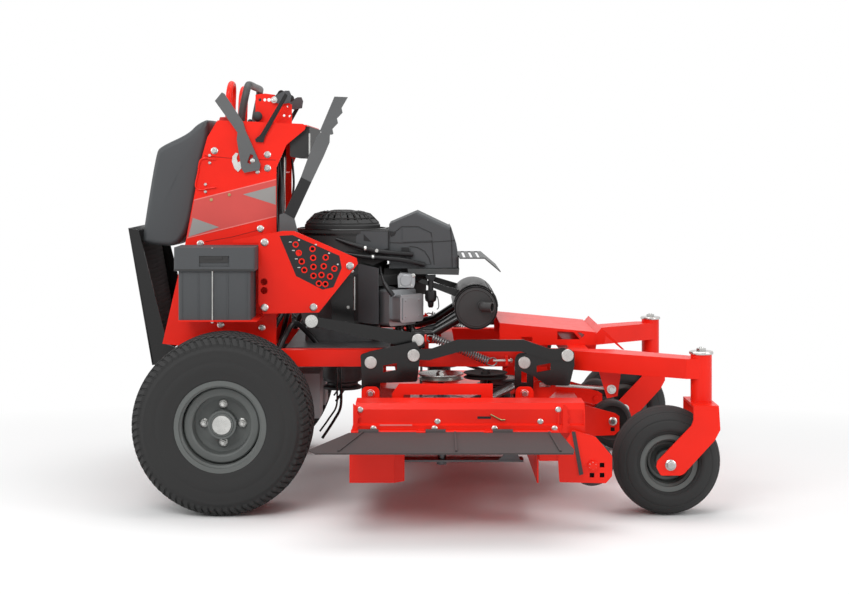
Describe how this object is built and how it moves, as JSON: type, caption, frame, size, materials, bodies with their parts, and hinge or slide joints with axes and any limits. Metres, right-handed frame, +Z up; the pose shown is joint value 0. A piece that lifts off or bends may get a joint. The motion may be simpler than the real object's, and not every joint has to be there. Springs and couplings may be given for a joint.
{
  "type": "stand-on mower",
  "caption": "Stand-on zero-turn mower: red frame and control tower, open twin engine, side-discharge deck on a crank lift, folding platform, caster front.",
  "frame": {"origin": "on the ground, under the centre of the whole machine's outline, chute and folded platform included", "axes": "+X forward, +Y to the machine's left, +Z up; the midline lies at Y = 0.0995 m, because the chute makes the right side wider"},
  "size_m": [1.9005, 1.7878, 1.369],
  "materials": {
    "paint_red": "gloss",
    "paint_charcoal": "satin",
    "paint_black": "gloss",
    "tyre_rubber": "matt",
    "rubber_black": "matt",
    "plastic_black": "textured",
    "plastic_grey": "textured",
    "cast_aluminium": "cast",
    "steel_plated": "plated",
    "blade_steel": "forged",
    "pad_skin": "moulded skin"
  },
  "bodies": {
    "chassis": {"frame_rails": "paint_red", "caster_arms": "paint_red", "front_tunnel": "paint_red", "tower_sides": "paint_red", "tower_shell": "paint_red", "console_nose": "plastic_black", "knee_pad": "pad_skin", "height_plate": "paint_red", "battery_box": "plastic_grey", "battery_lid": "plastic_grey", "fuel_tank": "plastic_black", "transaxles": "cast_aluminium", "engine_block": "paint_black", "cylinders": "cast_aluminium", "blower_housing": "plastic_black", "fan_screen": "plastic_black", "air_cleaner": "plastic_black", "muffler": "paint_black", "exhaust_pipes": "paint_black", "heat_guard": "paint_black", "instrument_panel": "paint_red", "upper_bar": "paint_charcoal", "red_loops": "paint_red", "brake_lever": "paint_charcoal"},
    "deck": {"deck_shell": "paint_red", "spindle_housings": "paint_red", "deck_belt": "rubber_black"},
    "chute_arm": {"chute": "paint_black"},
    "platform_arm": {"platform": "paint_black", "platform_mat": "rubber_black"},
    "lift_handle": {"lift_lever": "paint_charcoal"},
    "lift_bar": {"lift_link": "paint_black"},
    "crank_rear": {"rear_crank": "paint_black"},
    "crank_front": {"front_crank": "paint_black"},
    "links": {"long_links": "paint_black"},
    "stays": {"drag_rods": "steel_plated"},
    "hangers_rear": {"rear_hangers": "paint_black"},
    "hangers_front": {"front_hangers": "paint_black"},
    "drive_wheel_right": {"drive_tyre_right": "tyre_rubber", "drive_rim_right": "paint_charcoal"},
    "caster_right": {"caster_fork_right": "paint_red"},
    "caster_wheel_right": {"caster_tyre_right": "tyre_rubber", "caster_rim_right": "paint_charcoal"},
    "drive_handle_right": {"drive_lever_right": "paint_charcoal"},
    "corner_roller_right": {"corner_wheel_right": "plastic_black"},
    "nose_roller_right": {"nose_wheel_right": "plastic_black"},
    "drive_wheel_left": {"drive_tyre_left": "tyre_rubber", "drive_rim_left": "paint_charcoal"},
    "caster_left": {"caster_fork_left": "paint_red"},
    "caster_wheel_left": {"caster_tyre_left": "tyre_rubber", "caster_rim_left": "paint_charcoal"},
    "drive_handle_left": {"drive_lever_left": "paint_charcoal"},
    "corner_roller_left": {"corner_wheel_left": "plastic_black"},
    "nose_roller_left": {"nose_wheel_left": "plastic_black"},
    "rotor_right": {"blade_right": "blade_steel", "spindle_right": "blade_steel"},
    "rotor_middle": {"blade_middle": "blade_steel", "spindle_middle": "blade_steel"},
    "rotor_left": {"blade_left": "blade_steel", "spindle_left": "blade_steel"}
  },
  "joints": [
    {"name": "deck_lift", "type": "slide", "parent": "chassis", "child": "deck", "axis": [0, 0, 1], "range_m": [-0.1, 0]},
    {"name": "drive_wheel_right_turn", "type": "hinge", "parent": "chassis", "child": "drive_wheel_right", "pos_m": [-0.599, -0.425, 0.2794], "axis": [0, 1, 0], "continuous": true},
    {"name": "caster_right_swivel", "type": "hinge", "parent": "chassis", "child": "caster_right", "pos_m": [0.895, -0.4555, 0.43], "axis": [0, 0, 1], "continuous": true},
    {"name": "caster_wheel_right_turn", "type": "hinge", "parent": "caster_right", "child": "caster_wheel_right", "pos_m": [0.784, -0.4555, 0.1665], "axis": [0, 1, 0], "continuous": true},
    {"name": "drive_lever_right_push", "type": "hinge", "parent": "chassis", "child": "drive_handle_right", "pos_m": [-0.505, -0.0505, 1.235], "axis": [0, 1, 0], "range_deg": [-12, 12], "stiffness_Nm_per_rad": 8},
    {"name": "corner_wheel_right_turn", "type": "hinge", "parent": "deck", "child": "corner_roller_right", "pos_m": [0.531, -0.6465, 0.191], "axis": [0, 1, 0], "continuous": true},
    {"name": "nose_wheel_right_turn", "type": "hinge", "parent": "deck", "child": "nose_roller_right", "pos_m": [0.65, -0.1505, 0.242], "axis": [0, 1, 0], "continuous": true},
    {"name": "drive_wheel_left_turn", "type": "hinge", "parent": "chassis", "child": "drive_wheel_left", "pos_m": [-0.599, 0.624, 0.2794], "axis": [0, 1, 0], "continuous": true},
    {"name": "caster_left_swivel", "type": "hinge", "parent": "chassis", "child": "caster_left", "pos_m": [0.895, 0.6545, 0.43], "axis": [0, 0, 1], "continuous": true},
    {"name": "caster_wheel_left_turn", "type": "hinge", "parent": "caster_left", "child": "caster_wheel_left", "pos_m": [0.784, 0.6545, 0.1665], "axis": [0, 1, 0], "continuous": true},
    {"name": "drive_lever_left_push", "type": "hinge", "parent": "chassis", "child": "drive_handle_left", "pos_m": [-0.505, 0.2495, 1.235], "axis": [0, 1, 0], "range_deg": [-12, 12], "stiffness_Nm_per_rad": 8},
    {"name": "corner_wheel_left_turn", "type": "hinge", "parent": "deck", "child": "corner_roller_left", "pos_m": [0.531, 0.8455, 0.191], "axis": [0, 1, 0], "continuous": true},
    {"name": "nose_wheel_left_turn", "type": "hinge", "parent": "deck", "child": "nose_roller_left", "pos_m": [0.65, 0.3495, 0.242], "axis": [0, 1, 0], "continuous": true},
    {"name": "blade_right_turn", "type": "hinge", "parent": "deck", "child": "rotor_right", "pos_m": [0.085, -0.3955, 0.3], "axis": [0, 0, 1], "continuous": true},
    {"name": "blade_middle_turn", "type": "hinge", "parent": "deck", "child": "rotor_middle", "pos_m": [0.285, 0.0995, 0.3], "axis": [0, 0, 1], "continuous": true},
    {"name": "blade_left_turn", "type": "hinge", "parent": "deck", "child": "rotor_left", "pos_m": [0.085, 0.5945, 0.3], "axis": [0, 0, 1], "continuous": true},
    {"name": "chute_lift", "type": "hinge", "parent": "deck", "child": "chute_arm", "pos_m": [0.11, -0.6745, 0.288], "axis": [-1, 0, 0], "range_deg": [0, 80]},
    {"name": "platform_fold", "type": "hinge", "parent": "chassis", "child": "platform_arm", "pos_m": [-0.68, 0.0995, 0.415], "axis": [0, -1, 0], "range_deg": [0, 80]},
    {"name": "lift_lever_pull", "type": "hinge", "parent": "chassis", "child": "lift_handle", "pos_m": [-0.392, 0.0995, 0.794], "axis": [0, 1, 0], "range_deg": [0, 29.3]},
    {"name": "lift_link_pin", "type": "hinge", "parent": "lift_handle", "child": "lift_bar", "pos_m": [-0.335, -0.2715, 0.581], "axis": [0, 1, 0], "range_deg": [-30.2, 0]},
    {"name": "drag_rod_pin", "type": "hinge", "parent": "chassis", "child": "stays", "pos_m": [0.636, 0.0995, 0.359], "axis": [0, 1, 0], "range_deg": [-26.2, 0]},
    {"name": "rear_crank_turn", "type": "hinge", "parent": "chassis", "child": "crank_rear", "pos_m": [-0.037, 0.0995, 0.405], "axis": [0, 1, 0], "range_deg": [-53, 0]},
    {"name": "front_crank_turn", "type": "hinge", "parent": "chassis", "child": "crank_front", "pos_m": [0.457, 0.0995, 0.405], "axis": [0, 1, 0], "range_deg": [-53, 0]},
    {"name": "long_link_pin", "type": "hinge", "parent": "crank_rear", "child": "links", "pos_m": [-0.005, 0.0995, 0.475], "axis": [0, 1, 0], "range_deg": [0, 53]},
    {"name": "rear_hanger_pin", "type": "hinge", "parent": "crank_rear", "child": "hangers_rear", "pos_m": [-0.143, 0.0995, 0.451], "axis": [0, 1, 0], "range_deg": [0, 53]},
    {"name": "front_hanger_pin", "type": "hinge", "parent": "crank_front", "child": "hangers_front", "pos_m": [0.351, 0.0995, 0.451], "axis": [0, 1, 0], "range_deg": [0, 53]}
  ],
  "couplings": [
    {"joint": "lift_lever_pull", "follows": "deck_lift", "rad_per_m": -5.08},
    {"joint": "lift_link_pin", "follows": "deck_lift", "rad_per_m": 5.24},
    {"joint": "drag_rod_pin", "follows": "deck_lift", "rad_per_m": 4.53},
    {"joint": "rear_crank_turn", "follows": "deck_lift", "rad_per_m": 9.18},
    {"joint": "front_crank_turn", "follows": "deck_lift", "rad_per_m": 9.18},
    {"joint": "long_link_pin", "follows": "deck_lift", "rad_per_m": -9.18},
    {"joint": "rear_hanger_pin", "follows": "deck_lift", "rad_per_m": -9.18},
    {"joint": "front_hanger_pin", "follows": "deck_lift", "rad_per_m": -9.18}
  ]
}
